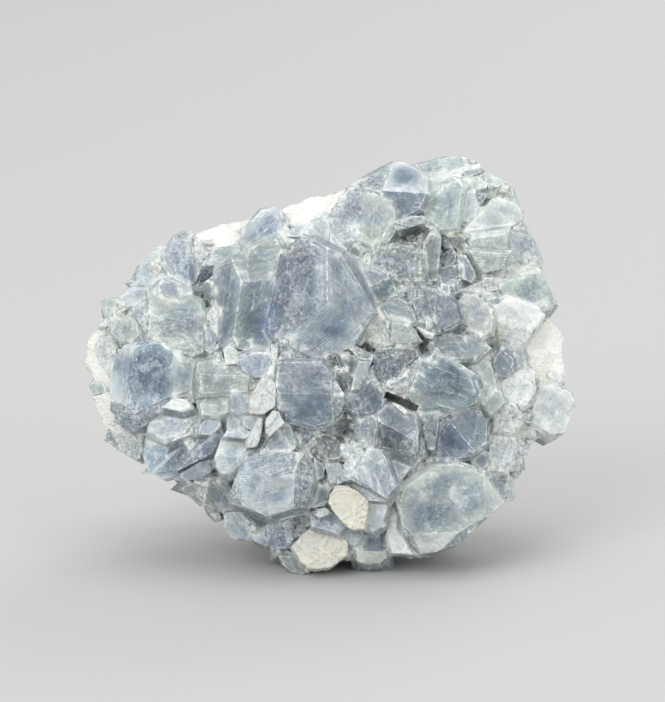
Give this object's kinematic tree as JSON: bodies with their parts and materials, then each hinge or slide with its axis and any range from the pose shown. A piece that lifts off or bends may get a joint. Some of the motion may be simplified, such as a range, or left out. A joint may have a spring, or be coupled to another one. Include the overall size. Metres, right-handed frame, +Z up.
{
  "type": "celestite cluster",
  "caption": "Cluster of pale blue celestite crystals grown together over a rough lump of white rock, standing on a small flat spot, with pale chips lodged between the crystals.",
  "frame": {"origin": "on the floor, under the middle of the object's bounding box", "axes": "+Z up, the face of the cluster looks along -Y and leans back, +X to the right as seen from the front"},
  "size_m": [0.16, 0.0972, 0.1293],
  "materials": {
    "crystal": "clear to milky pale blue crystal, glossy faces with frosted patches",
    "rock": "rough granular white rock with cream and tan specks",
    "cream_stone": "matt cream stone with yellowish stains",
    "white_chip": "matt chalky white"
  },
  "bodies": {
    "root": {"crystal_crust": "crystal", "rock_matrix": "rock", "cream_stone_lower": "cream_stone", "cream_stone_upper": "cream_stone", "white_plate_upper": "white_chip", "white_plate_lower": "white_chip", "white_blade": "white_chip"}
  },
  "joints": []
}
